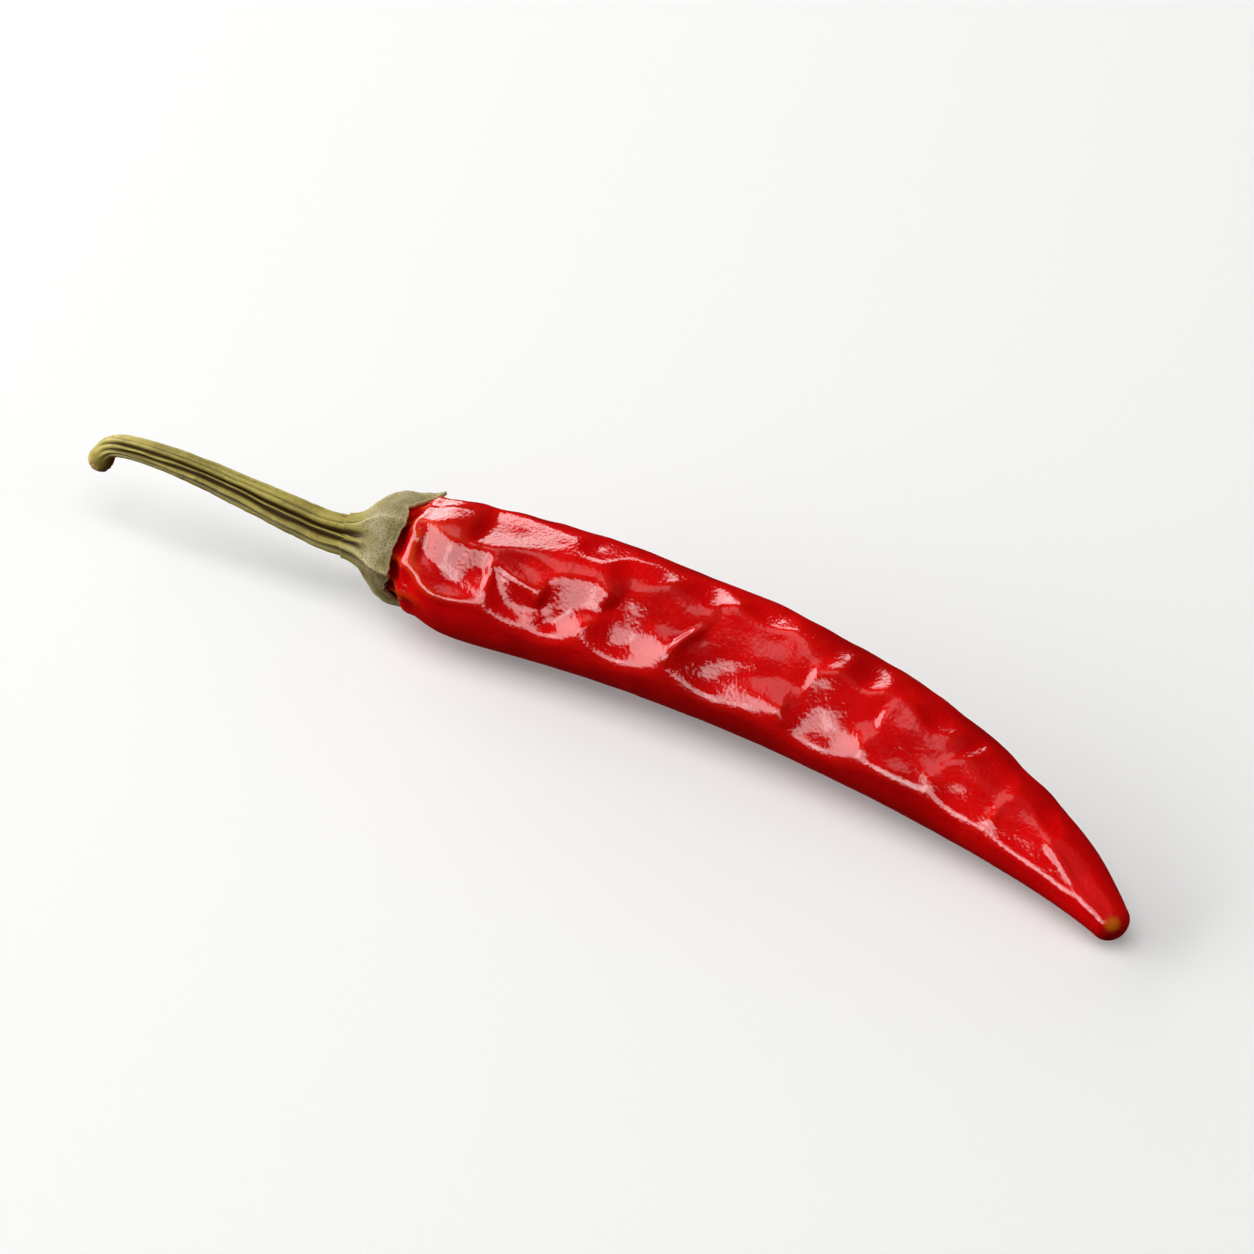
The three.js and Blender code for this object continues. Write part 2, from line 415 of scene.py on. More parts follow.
def ripple(wavelength, seed):
    """A smooth random field on the pod, from about -1 to 1, with no seam round it."""
    draw = np.random.default_rng(seed)
    place = np.stack([S, R * np.cos(A), R * np.sin(A)], axis=-1)
    total = np.zeros_like(S)
    for _ in range(WAVES):
        direction = unit(draw.normal(size=3)) * 2 * math.pi / (wavelength * draw.uniform(0.7, 1.4))
        total += np.sin(place @ direction + draw.uniform(0, 2 * math.pi))
    return total / math.sqrt(WAVES) / PEAKS


def turned(angle):
    """An angle in radians brought between minus and plus half a turn."""
    return (angle + math.pi) % (2 * math.pi) - math.pi


def above(degrees):
    """How far round the pod each place is above an angle, in millimetres."""
    return turned(A - np.radians(degrees)) * R


def eased(share):
    share = np.clip(share, 0, 1)
    return share * share * (3 - 2 * share)


def deepest(fields):
    """The greatest of some depths, with the corner between them softened."""
    total = sum(np.exp(field / SOFT_CORNER) for field in fields) - (len(fields) - 1)
    return np.log(total) * SOFT_CORNER


# Two ripples that later move the edges of cells and dents about, so that none is a ruled line.
warp_along, warp_round = ripple(5.0, 1), ripple(5.0, 2)
print(f"warps: from {warp_along.min():.1f} to {warp_along.max():.1f}")

# %% [markdown]
# The crease that shows runs from the neck to the tip. It starts in a tight curl where the neck is gathered
# and then scallops along the front, dipping round the foot of each cell. It is a path of (station, angle)
# places, and its corners are cut off again and again until it runs smoothly. The skin rises to a narrow lip
# along it, as it does along every crease and fold.

# %% The long crease
NECK_CURL = [(0.9, 66), (1.7, 62), (2.1, 53), (1.8, 40), (1.9, 27)]
LONG_CREASE = [
    (2.8, 17), (4.3, 12), (5.8, 15), (7.2, 18), (8.6, 10), (10.4, 2), (12.4, -1), (14.4, 6), (16.0, 10),
    (16.9, 3), (18.6, -2), (20.4, 2), (22.4, 8), (24.4, 5), (27.4, 1), (30.0, 5), (31.8, 2), (33.2, -3),
    (36.2, -3), (38.6, 3), (40.0, 10), (42.6, 14), (44.9, 21), (47.4, 18), (51.0, 17), (55.0, 17), (58.4, 22),
    (61.4, 40),
]
REACH = 5  # how far from a path its distance is still worked out
LIPS = {
    # height and width
    "long crease": (0.14, 0.34),
    "side crease": (0.08, 0.5),
    "neck fold": (0.16, 0.22),
    "tip fold": (0.18, 0.3),
}


def rounded_path(path):
    """A path with each corner cut three times over, which rounds it."""
    points = np.array(path, dtype=float)
    for _ in range(3):
        near, far = points[:-1] * 0.75 + points[1:] * 0.25, points[:-1] * 0.25 + points[1:] * 0.75
        between = np.stack([near, far], axis=1).reshape(-1, 2)
        points = np.concatenate([points[:1], between, points[-1:]])
    return points


def distance_to(path):
    """How far each place on the pod is from a path: positive on its upper side, negative below."""
    points = rounded_path(path)
    best = np.full(S.shape, float(REACH))
    sign = np.ones(S.shape)
    for (s0, a0), (s1, a1) in zip(points[:-1], points[1:]):
        rows = np.nonzero((rings > min(s0, s1) - REACH) & (rings < max(s0, s1) + REACH))[0]
        if not len(rows):
            continue
        part = slice(rows[0], rows[-1] + 1)
        dx, dy = S[part] - s0, turned(A[part] - math.radians(a0)) * R[part]
        ex, ey = s1 - s0, math.radians(a1 - a0) * R[part]
        share = np.clip((dx * ex + dy * ey) / (ex**2 + ey**2), 0, 1)
        gap = np.hypot(dx - share * ex, dy - share * ey)
        closer = gap < best[part]
        best[part] = np.where(closer, gap, best[part])
        sign[part] = np.where(closer, np.sign(ex * dy - ey * dx), sign[part])
    return best * sign


def lip_along(path, kind):
    height, width = LIPS[kind]
    return height * np.exp(-((distance_to(path) / width) ** 2))


long_lip = lip_along(NECK_CURL + LONG_CREASE, "long crease")
print(f"long crease: {len(NECK_CURL + LONG_CREASE)} places, up to {long_lip.max():.2f} mm high")

# %% [markdown]
# A cell lies above its crease between two stations. There the skin has gone flat, like a slice off the
# round that starts at the crease and runs out over the top of the pod, or has sunk in a little further than
# flat. Along the pod the cell's floor drops quickly and rises slowly. Its two ends lean towards the tip as
# they run up from the crease, and sway a little.

# %% Cells above a crease
FRONT_CELLS = [
    # start, end, spread up from the crease in degrees, strength: 1 is flat, more is hollow
    (2.0, 7.3, 50, 1.9),
    (7.3, 11.0, 44, 1.7),
    (11.0, 16.2, 56, 1.5),
    (16.2, 23.4, 84, 1.0),
    (23.4, 32.4, 90, 1.05),
    (32.4, 39.6, 80, 1.1),
    (39.6, 46.0, 70, 0.95),
    (46.0, 51.0, 60, 0.9),
    (51.0, 57.0, 58, 0.8),
    (57.0, 61.5, 46, 0.8),
]
DROP = 0.84  # less than 1: how soon along a cell its floor is deepest
LEAN, LEAN_END = 1.1, 1.2  # mm towards the tip for each radian up from the crease, and where that stops
SWAY, SWAY_RATE = 0.5, 3.4  # of the cells' ends, in mm, and how fast it turns on the way up
JOINED_FROM, JOINED_OVER = 0.35, 0.8  # where neighbours run together, in half spreads above the crease
JOINED_FLOOR = 0.8  # how deep their shared flat is beside a cell's own floor
FOOT = 0.6  # radians on either side of the crease that the wall at a cell's foot may reach
FOOT_WARP, END_WARP = 0.05, 0.3  # how far the ripples move a cell's foot, in radians, and its ends, in mm


def cells_above(path, cells, wall_width):
    """The depth of a row of cells whose feet follow a crease."""
    points = rounded_path(path)
    rise = turned(A - np.radians(np.interp(S, points[:, 0], points[:, 1]))) + FOOT_WARP * warp_round
    wall = eased(distance_to(path) / wall_width + 0.5)
    total = np.zeros_like(S)
    for start, end, spread, strength in cells:
        lean = LEAN * np.clip(rise, 0, LEAN_END) + SWAY * np.sin(SWAY_RATE * rise + start)
        along = np.clip((S + END_WARP * warp_along - start - lean) / (end - start), 0, 1)
        half = math.radians(spread / 2)
        slice_depth = 1 - math.cos(half) / np.cos(np.clip(rise - half, -half, half))
        floor = np.sin(math.pi * along**DROP)
        # Towards the top the cells run together into one long flat.
        joined = eased((rise / half - JOINED_FROM) / JOINED_OVER) * (along > 0) * (along < 1)
        depth = floor + (JOINED_FLOOR - floor) * joined
        total = np.maximum(total, strength * R * slice_depth * depth)
    return total * np.where(np.abs(rise) < FOOT, wall, 1)


front_cells = cells_above(LONG_CREASE, FRONT_CELLS, wall_width=0.5)
print(f"front: {len(FRONT_CELLS)} cells, up to {front_cells.max():.2f} mm deep")

# %% [markdown]
# Over the top the skin is only dented: shallow, soft-edged bowls. Near the neck it has also folded flat in
# two places. Such a flat is a slice off the round, deepest where it starts, so that it leans back towards
# the stalk and catches the light all at once.

# %% Dents and flats
TOP_DENTS = [
    # station, angle, half length, half width, depth, turn
    (10.2, 61, 2.9, 1.3, 0.40, -8), (15.2, 100, 2.4, 2.2, 0.34, 20), (18.8, 76, 2.6, 2.4, 0.42, -24),
    (23.6, 84, 2.7, 2.3, 0.40, -14), (26.4, 56, 2.0, 1.9, 0.30, 30), (28.6, 98, 2.6, 2.2, 0.40, 12),
    (33.4, 72, 2.2, 3.0, 0.45, -32), (37.4, 88, 2.3, 2.4, 0.38, -30), (41.4, 64, 2.5, 2.3, 0.40, -12),
    (43.4, 92, 2.3, 2.0, 0.34, 14), (46.4, 82, 1.6, 2.2, 0.34, -25), (49.6, 80, 2.3, 2.0, 0.36, -10),
    (53.2, 62, 2.2, 1.5, 0.26, 18), (55.2, 88, 2.2, 1.4, 0.22, -14), (58.6, 74, 1.8, 0.9, 0.14, 0),
]
FLATS = [
    # start, angle, length, depth
    (4.6, 92, 8.4, 0.76),
    (13.6, 46, 3.2, 0.42),
]
FLAT_WALL = 1.9  # how soon a flat drops to its full depth
EDGE_WARP, WALL_WARP = 0.4, 0.06  # how far a dent's edge and a flat's wall stray
BOWL = 1.4  # more than 1: how softly a dent's edge runs out


def dent(station, angle, half_length, half_width, depth, turn):
    """A soft-edged oval bowl."""
    ahead = S + EDGE_WARP * warp_along - station
    beside = above(angle) + EDGE_WARP * warp_round
    cosine, sine = math.cos(math.radians(turn)), math.sin(math.radians(turn))
    u = (ahead * cosine + beside * sine) / half_length
    v = (beside * cosine - ahead * sine) / half_width
    return depth * np.maximum(1 - u**2 - v**2, 0) ** BOWL


def flat(start, angle, length, depth):
    """A slice off the round that is deepest at its start, where it ends in a wall."""
    along = (S + WALL_WARP * warp_round - start) / length
    slice_depth = depth * (1 - along) - above(angle) ** 2 / (2 * R)
    return np.maximum(slice_depth, 0) * eased(along * length / FLAT_WALL)


dents = [dent(*given) for given in TOP_DENTS]
flats = [flat(*given) for given in FLATS]
print(f"top: {len(dents)} dents and {len(flats)} flats")

# %% [markdown]
# The sides that turn away have creases and cells of the same habit. Placing each by hand would take long, so
# they are drawn from seeds, which give the same crease every time. They are softer than the front's.

# %% Creases drawn for the other sides
SIDE_CREASES = [
    # angle, seed, spread in degrees, strength
    (130, 21, 60, 0.6),
    (205, 22, 66, 0.65),
    (270, 25, 44, 0.5),
]
FIRST_CELL = 2.4
LAST_START, LAST_END = POD_TIP - 6, POD_TIP - 2.5
CELL_LENGTHS = (4.6, 7.6)
LOWEST_AT = 0.35  # the share of a cell's length where the crease dips lowest
NARROW_FROM, NARROW_OVER, NARROWING = 28, 36, 0.35  # towards the tip the cells get narrower by this share


def drawn_crease(angle, seed, spread, strength):
    """A crease and its cells, drawn from a seed."""
    draw = np.random.default_rng(seed)
    path, cells, start = [(FIRST_CELL, angle)], [], FIRST_CELL
    while start < LAST_START:
        end = min(start + draw.uniform(*CELL_LENGTHS), LAST_END)
        slender = 1 - NARROWING * max(start - NARROW_FROM, 0) / NARROW_OVER
        path.append((start + LOWEST_AT * (end - start), angle - draw.uniform(2, 7)))
        path.append((end, angle + draw.uniform(2, 8)))
        width = spread * slender * draw.uniform(0.88, 1.12)
        cells.append((start, end, width, strength * draw.uniform(0.75, 1.25)))
        start = end
    return path, cells


creases = [drawn_crease(*given) for given in SIDE_CREASES]
cells = [front_cells] + [cells_above(path, row, wall_width=1.6) for path, row in creases]
hollow = deepest([np.maximum.reduce(cells + flats), np.maximum.reduce(dents)])
print(f"hollows: {len(cells)} rows of cells in all, up to {hollow.max():.2f} mm deep")

# %% [markdown]
# At the neck the skin is gathered into the calyx in narrow pleats, which fade out over the shoulder. Small
# folds run beside the curl, and one more comes down to the crease in a V just before the tip. A finer ripple
# lies over everything, because no dried skin is smooth between its folds. It is weakest on the rounded side
# below the crease, where the skin has stayed taut.

# %% Pleats, folds and ripples
PLEATS = 10
PLEAT_DEPTH = 0.5
PLEAT_REACH = 2.4  # from the teeth's tips
NECK_FOLDS = [
    [(0.0, 58), (1.0, 72), (2.2, 76), (3.2, 68)],
    [(6.2, 68), (5.6, 50), (5.2, 34)],
    [(0.2, 92), (2.2, 94), (3.8, 98)],
    [(0.0, 108), (2.0, 111), (3.4, 114)],
]
TIP_FOLD = [(56.2, 66), (58.4, 58), (60.4, 42), (62.0, 44), (63.2, 50)]
RIPPLES = [(0.12, 7.0, 6), (0.045, 3.0, 4), (0.012, 1.2, 5)]  # height, wavelength, seed
TAUT_ANGLE, TAUT_WIDTH, TAUTNESS = -38, 3.4, 0.75  # of the side below the crease
BLUNT = 6  # how far from the tip the crease and the ripples begin to fade
ROUND_WIDTH, ROUND_FROM, ROUND_OVER, ROUND_PASSES = 0.8, 5, 6, 26  # how the long crease is rounded
PROUD = 0.02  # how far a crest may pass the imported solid
THINNEST = 0.25  # of the solid's half width


def pleated():
    """The depth of the pleats, which wander so that no two are the same width."""
    fade = np.exp(-((np.maximum(S, 0) / PLEAT_REACH) ** 2))
    wander = 0.5 * np.sin(2 * A + 1.0) + 0.3 * np.sin(3 * A) + 0.25 * ripple(4.0, 3)
    return PLEAT_DEPTH * fade * np.abs(np.sin(PLEATS * A / 2 + wander))


def blurred(field, passes):
    """A field on the pod, each value drawn towards its neighbours round the pod and along it."""
    for _ in range(passes):
        field = field / 2 + (np.roll(field, 1, axis=1) + np.roll(field, -1, axis=1)) / 4
        padded = np.concatenate([field[:1], field, field[-1:]])
        field = field / 2 + (padded[:-2] + padded[2:]) / 4
    return field


before_tip = np.clip((POD_TIP - S) / BLUNT, 0, 1)
lips = long_lip + sum(lip_along(path, "side crease") for path, _ in creases)
folds = sum(lip_along(path, "neck fold") for path in NECK_FOLDS) + lip_along(TIP_FOLD, "tip fold")
taut = np.exp(-((above(TAUT_ANGLE) / TAUT_WIDTH) ** 2))
rough = sum(height * ripple(wavelength, seed) for height, wavelength, seed in RIPPLES)
rough = rough * (1 - TAUTNESS * taut)
relief = blurred((lips + rough) * before_tip + folds - hollow - pleated(), passes=5)
# The long crease is rounder than the folds, so it shows as a line of light with some width.
on_crease = np.exp(-((distance_to(NECK_CURL + LONG_CREASE) / ROUND_WIDTH) ** 2))
on_crease = on_crease * eased((S - ROUND_FROM) / ROUND_OVER)
relief = relief + (blurred(relief, ROUND_PASSES) - relief) * on_crease
relief = np.minimum(relief, R * (1 / MARGIN - 1) + PROUD)
skin = np.maximum(R + relief, THINNEST * R)
print(f"relief: from {relief.min():.2f} to {relief.max():.2f} mm")

# %% [markdown]
# The rings of places become a closed mesh, with a pole at each end. The finishes will need to know what each
# place is, so that is written into the mesh as attributes: whether it is a crest, where a glow is painted,
# how deep it lies, where shade is painted, how far along the pod it is, and whether it belongs to the small
# scar that the flower left at the tip, whose bright orange is partly its own colour and partly a painted
# glow.

# %% Make the pod's mesh
# where the tip's orange spot lies: the scar's own colour with a painted glow over it
SCAR_GLOW_STATION = POD_TIP - 0.3
SCAR_GLOW_ANGLE = math.radians(60)
SCAR_GLOW_SIZE = 0.55
CREST_PASSES, CREST_HEIGHT = 14, 0.06  # a crest stands out by this from a copy that is blurred so often
FULL_DEPTH = 1.1  # the depth that counts as 1 in the attribute


def pod_mesh():
    """The straight pod as a closed mesh, with attributes for its colours."""
    y, z = -skin * np.cos(A), skin * np.sin(A)
    grid = np.stack([S, y, z], axis=-1).reshape(-1, 3)
    points = np.concatenate([grid, [(rings[0], 0, 0), (POD_TIP, 0, 0)]]) * MM
    rows = len(rings)
    index = np.arange(rows * POD_SIDES).reshape(rows, POD_SIDES)
    after = np.roll(index, -1, axis=1)
    quads = np.stack([index[:-1], index[1:], after[1:], after[:-1]], axis=-1).reshape(-1, 4)
    neck_pole, tip_pole = rows * POD_SIDES, rows * POD_SIDES + 1
    faces = quads.tolist()
    faces += [(neck_pole, a, b) for a, b in zip(index[0], after[0])]
    faces += [(tip_pole, b, a) for a, b in zip(index[-1], after[-1])]
    mesh = bpy.data.meshes.new("straight pod")
    mesh.from_pydata(points.tolist(), [], faces)
    nearest = np.argmin((S - SCAR_GLOW_STATION) ** 2 + turned(A - SCAR_GLOW_ANGLE) ** 2)
    from_scar_glow = np.linalg.norm(grid - grid[nearest], axis=1).reshape(S.shape)
    marks = {
        "scar_and_glow": np.exp(-((from_scar_glow / SCAR_GLOW_SIZE) ** 4)),
        "crest": np.clip((relief - blurred(relief, CREST_PASSES)) / CREST_HEIGHT, 0, 1),
        "hollow": np.clip(hollow / FULL_DEPTH, 0, 1),
        "station": S / POD_TIP,
    }
    for name, values in marks.items():
        full = np.concatenate([values.ravel(), values[0, :1], values[-1, :1]])
        mesh.attributes.new(name, "FLOAT", "POINT").data.foreach_set("value", full)
    return mesh


# %% [markdown]
# ## Finishes
#
# The skin of a dried chilli is a clear, glossy film over deep red flesh. A Principled shader with a low
# roughness and a coat gives the film. The red is painted darker in the hollows, as painted shade. Thin crests
# near the neck are painted orange, as a painted glow of light coming through them, and the scar at the tip is
# painted a bright orange: partly its own colour, partly a painted glow. A fine bump breaks up the highlights'
# edges.
# Painting an image could give the same colours, but a formula needs no unwrapping and stays sharp up close.

# %% Helpers for finishes
def start_material(name):
    material = bpy.data.materials.new(name)
    material.use_nodes = True
    tree = material.node_tree
    tree.nodes.clear()
    shader = tree.nodes.new("ShaderNodeBsdfPrincipled")
    output = tree.nodes.new("ShaderNodeOutputMaterial")
    tree.links.new(shader.outputs[0], output.inputs[0])
    return material, tree, shader


def set_numbers(shader, numbers):
    """Sets what is the same all over on the shader's own sockets."""
    for name, number in numbers.items():
        shader.inputs[name].default_value = number


def noise(tree, scale, detail=3.0):
    """A noise field on the piece's own coordinates. Its scale is in waves to the millimetre."""
    place = add_node(tree, "ShaderNodeTexCoord").outputs["Object"]
    inputs = {"Vector": place, "Scale": scale / MM, "Detail": detail}
    return Field(tree, add_node(tree, "ShaderNodeTexNoise", inputs).outputs["Fac"])


def marked(tree, name):
    """One of the piece's own attributes."""
    return Field(tree, add_node(tree, "ShaderNodeAttribute", attribute_name=name).outputs["Fac"])


def paint(tree, shader, colour, layers):
    """Gives the shader a colour with others laid over it, each as thickly as its share says."""
    colour = (*colour, 1.0)
    for share, over in layers:
        inputs = {"Factor": share, 6: colour, 7: (*over, 1.0)}
        colour = add_node(tree, "ShaderNodeMix", inputs, data_type="RGBA").outputs[2]
    tree.links.new(colour, shader.inputs["Base Color"])


def bumped(tree, shader, height, distance, strength=1.0):
    """Gives the shader a bump from a height field. The distance is in millimetres."""
    inputs = {"Height": height, "Distance": distance * MM, "Strength": strength}
    tree.links.new(add_node(tree, "ShaderNodeBump", inputs).outputs[0], shader.inputs["Normal"])


# %% The pod's finish
def glossy_red_skin():
    material, tree, shader = start_material("glossy red skin")
    crest, hollow_shade, station = (marked(tree, name) for name in ("crest", "hollow", "station"))
    red, deep, bright = (0.82, 0.0022, 0.003), (0.5, 0.001, 0.0015), (0.88, 0.008, 0.003)
    crest_glow, scar_glow_colour = (0.82, 0.07, 0.008), (1.0, 0.2, 0.01)
    near_neck = station.between(0.1, 0.0, 0.0, 0.55) + 0.05
    paint(tree, shader, red, [
        (noise(tree, 0.12).between(0.35, 0.7), deep),
        # painted shade: the red is darker where the skin lies deep in a hollow
        (hollow_shade * 0.25, deep),
        (noise(tree, 0.3).between(0.5, 0.8, 0.0, 0.6), bright),
        # painted glow: thin crests near the neck are orange, as if light shone through them
        (crest * near_neck, crest_glow),
        # the scar at the tip: partly its own orange, partly a painted glow of light through the skin
        (marked(tree, "scar_and_glow"), scar_glow_colour),
    ])
    set_numbers(shader, {"Roughness": 0.14, "IOR": 1.45, "Coat Weight": 0.35, "Coat Roughness": 0.05})
    grain = noise(tree, 3.6, 1.0) + noise(tree, 0.9, 2.0) * 1.2
    bumped(tree, shader, grain, 0.03)
    return material


skin_finish = glossy_red_skin()
print(f"{skin_finish.name}: {len(skin_finish.node_tree.nodes)} nodes")

# %% Lay the pod along the spine
def pod_tree():
    tree, straight, _ = start_tree("pod")
    end_tree(tree, laid(tree, straight), skin_finish)
    return tree


pod = grown("pod_skin", pod_tree(), add_object("straight pod", pod_mesh()))

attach(pod, "root")
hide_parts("pod")

# %% [markdown]
# ## A rolled grid
#
# The calyx and the stalk are both sheets rolled into a tube, whose shape follows a rule: how far out a place
# is depends on its station and its angle. Geometry Nodes can say that in a few sums. A flat grid is made,
# its two directions are read as the share along the piece and the angle round it, and each vertex is put at
# its place. Merging by distance then closes the seam.

# %% A grid rolled into a tube
SEAM = 0.01  # vertices nearer than this are merged


def stored(tree, geometry, name, value):
    """The geometry with a field written into it under a name."""
    inputs = {0: geometry, "Name": name, "Value": value}
    return add_node(tree, "GeometryNodeStoreNamedAttribute", inputs).outputs[0]


def rolled_grid(tree, rows, sides):
    """A flat grid's geometry, with the share along it and the angle round it, in radians."""
    sizes = {"Size X": 1.0, "Size Y": 1.0, "Vertices X": rows, "Vertices Y": sides}
    grid = add_node(tree, "GeometryNodeMeshGrid", sizes).outputs["Mesh"]
    x, y, _ = parts_of(tree, add_node(tree, "GeometryNodeInputPosition").outputs[0])
    kept = []
    for name, value in (("share", x + 0.5), ("angle", (y + 0.5) * (2 * math.pi))):
        grid = stored(tree, grid, name, value)
        reader = add_node(tree, "GeometryNodeInputNamedAttribute", {"Name": name}, data_type="FLOAT")
        kept.append(Field(tree, reader.outputs[0]))
    return grid, *kept


def rolled_up(tree, grid, station, radius, angle):
    """The grid with each vertex at its station, radius and angle, and its seam closed."""
    place = {0: station * MM, 1: radius * angle.cosine() * -MM, 2: radius * angle.sine() * MM}
    position = add_node(tree, "ShaderNodeCombineXYZ", place).outputs[0]
    tube = add_node(tree, "GeometryNodeSetPosition", {0: grid, "Position": position}).outputs[0]
    return add_node(tree, "GeometryNodeMergeByDistance", {0: tube, "Distance": SEAM * MM}).outputs[0]


def noise_round(tree, station, angle, along, around, seed):
    """Noise from about -1 to 1 that meets itself round the tube, with so many waves along and around."""
    place = {0: station * along, 1: angle.cosine() * around, 2: angle.sine() * around + seed * 7.3}
    vector = add_node(tree, "ShaderNodeCombineXYZ", place).outputs[0]
    texture = add_node(tree, "ShaderNodeTexNoise", {"Vector": vector, "Scale": 1.0, "Detail": 2.0})
    return (Field(tree, texture.outputs["Fac"]) - 0.5) * 2.6


def curve_of(tree, field, points):
    """A field looked up on a smooth curve through (place, value) points, both from 0 to 1."""
    node = add_node(tree, "ShaderNodeFloatCurve", {"Value": field})
    curve = node.mapping.curves[0]
    curve.points[0].location, curve.points[1].location = points[0], points[-1]
    for place, value in points[1:-1]:
        curve.points.new(place, value)
    node.mapping.update()
    return Field(tree, node.outputs[0])


# %% [markdown]
# ## The stalk
#
# A dried stalk has shrunk round its fibres, which now stand out as ribs, with a few deeper furrows among
# them. It ends in a hook with a small knob, where it came off the plant. The ribs are a wave round the stalk
# whose angle wanders a little along it, so that they look grown and not machined. The calyx will need the
# same grooves, so they have a function of their own.

# %% The stalk's grooves
RIBS, RIB_SHARPNESS, RIB_DEPTH = 11, 1.6, 0.2  # depths are shares of the radius
FINE_RIBS, FINE_DEPTH = 33.0, 0.12  # this second depth is a share of the ribs' own
FURROWS = [math.radians(degrees) for degrees in (46, 22, -12, 165, 250)]
FURROW_WIDTH, FURROW_DEPTH = 0.13, 0.4  # the width is in radians
WANDER = 0.35  # of all of them, in radians
GROOVE_TONE = 3.0  # brings a groove's depth near 1 for the finishes


def grooves(tree, station, angle, rib_depth, furrow_depth):
    """How deep the ribs and the furrows cut, as a share of the radius."""
    wander = noise_round(tree, station, angle, 0.12, 0.7, 1) * WANDER
    wave = ((angle + wander) * float(RIBS)).cosine() * 0.5 + 0.5
    ribs = 1 - (1 - wave) ** RIB_SHARPNESS
    fine = ((angle + wander * 1.3) * FINE_RIBS).cosine() * FINE_DEPTH
    furrow = total_of([(angle + wander - place).wrapped().bell(FURROW_WIDTH) for place in FURROWS])
    return (1 - ribs) * rib_depth + furrow * furrow_depth - fine * rib_depth


print(f"grooves: {RIBS} ribs and {len(FURROWS)} furrows")

# %% Grow the stalk
KNOB_SHARE = 0.075  # of the stalk's length
ROOT_REACH = 0.5  # how far the root goes into the calyx
TAPER = 1.3  # more than 1: the stalk thickens faster towards its root


def stalk_tree(finish):
    sizes = {"Root width": 3.3, "End width": 1.4, "Knob width": 2.0}
    sizes |= {"Rib depth": RIB_DEPTH, "Furrow depth": FURROW_DEPTH}
    tree, _, (root, end, knob, rib_depth, furrow_depth) = start_tree("ribbed stalk", **sizes)
    grid, share, angle = rolled_grid(tree, rows=300, sides=121)
    station = share * (STALK_ROOT + ROOT_REACH - STALK_END) + STALK_END
    shaft = (end + (root - end) * share**TAPER) / 2
    # The knob swells near the end, which closes in a dome. The root closes flat inside the calyx.
    swell = ((share - KNOB_SHARE * 0.45) / (KNOB_SHARE * 0.55)).bell(1.0)
    round_end = (share / (KNOB_SHARE * 0.35)).at_most(1.0)
    closing = (1 - (1 - round_end) ** 2.2) ** 0.5
    closed_root = ((1 - share) / 0.004).at_most(1.0)
    half = (shaft + (knob - end) / 2 * swell) * closing * closed_root
    depth = grooves(tree, station, angle, rib_depth, furrow_depth) * share.between(0.06, 0.2)
    # Long soft lumps lie all along the stalk, and small sharp ones on the knob.
    lumps = noise_round(tree, station, angle, 0.5, 0.9, 2) * 0.05
    lumps = lumps + noise_round(tree, station, angle, 4.0, 2.4, 5) * 0.09 * share.between(0.08, 0.03)
    radius = half * (1 - depth + lumps)
    tube = stored(tree, rolled_up(tree, grid, station, radius, angle), "groove", depth * GROOVE_TONE)
    end_tree(tree, laid(tree, tube), finish)
    return tree


def olive_stalk():
    """Olive with yellow patches, brown in the grooves, and tan with brown specks on the knob's scar."""
    material, tree, shader = start_material("olive stalk")
    groove, share = marked(tree, "groove"), marked(tree, "share")
    olive, yellow = (0.31, 0.25, 0.03), (0.54, 0.45, 0.09)
    brown, tan = (0.085, 0.04, 0.008), (0.72, 0.42, 0.16)
    scar_specks = noise(tree, 3.2, 3.0).between(0.5, 0.6) * share.between(0.04, 0.02)
    paint(tree, shader, olive, [
        (noise(tree, 0.35, 4.0).between(0.35, 0.65), yellow),
        (groove.between(0.2, 0.9, 0.0, 0.92), brown),
        (noise(tree, 2.6, 3.0).between(0.58, 0.75, 0.0, 0.55), brown),
        (share.between(0.05, 0.01), tan),
        (scar_specks * 0.8, brown),
    ])
    set_numbers(shader, {"Roughness": 0.55})
    bumped(tree, shader, noise(tree, 2.4, 4.0), 0.06, 0.7)
    return material


middle_stalk = stalk_halves[len(stalk_halves) // 2 : -12].min()
# A little under what was measured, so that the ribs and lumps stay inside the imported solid.
measured = {
    "Root width": float(2 * stalk_halves[0]) * 0.97,
    "End width": float(2 * middle_stalk) * 0.98,
    "Knob width": float(2 * stalk_halves[-10:].max()) * 0.99,
}
print("stalk, measured:", {name: round(width, 2) for name, width in measured.items()})
base = add_object("base", bpy.data.meshes.new("base"))
stalk = grown("ribbed_stalk", stalk_tree(olive_stalk()), base, **measured)

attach(stalk, "root")
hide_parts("stalk")

# %% [markdown]
# ## The calyx
#
# The calyx is what is left of the flower's cup: six fused leaves, dried to stiff paper. Each has a raised
# vein that ends in a tooth, and between the veins the paper sinks in. The teeth have dried in their own ways,
# so each has its own length, width and curl. One sheet is rolled up with its rim cut to the teeth, and a
# Solidify modifier then gives the paper its thickness.

# %% Grow the calyx
TEETH = [
    # angle in degrees, length, half width in degrees, curl
    (11, 1.4, 56, 0.0),
    (71, 1.6, 52, 0.0),
    (131, 2.5, 34, 0.3),
    (191, 1.6, 34, 0.1),
    (251, 1.5, 34, 0.1),
    (311, 2.3, 26, -0.06),
]
POINTED = 1.15  # more than 1: a tooth's sides curve in towards its point
PAPER = 0.28
RIM_BACK = -1.5  # station of the rim between two teeth
PANEL_MIDDLE = math.radians(41)  # half way between the first two veins
VEIN_WIDTH = 0.07  # in radians
# How wide the cup is along its length, from 0 at the base to 1 at the rim.
FLARE = [(0, 0.0), (0.15, 0.08), (0.4, 0.5), (0.65, 0.87), (0.85, 0.96), (1, 0.96)]


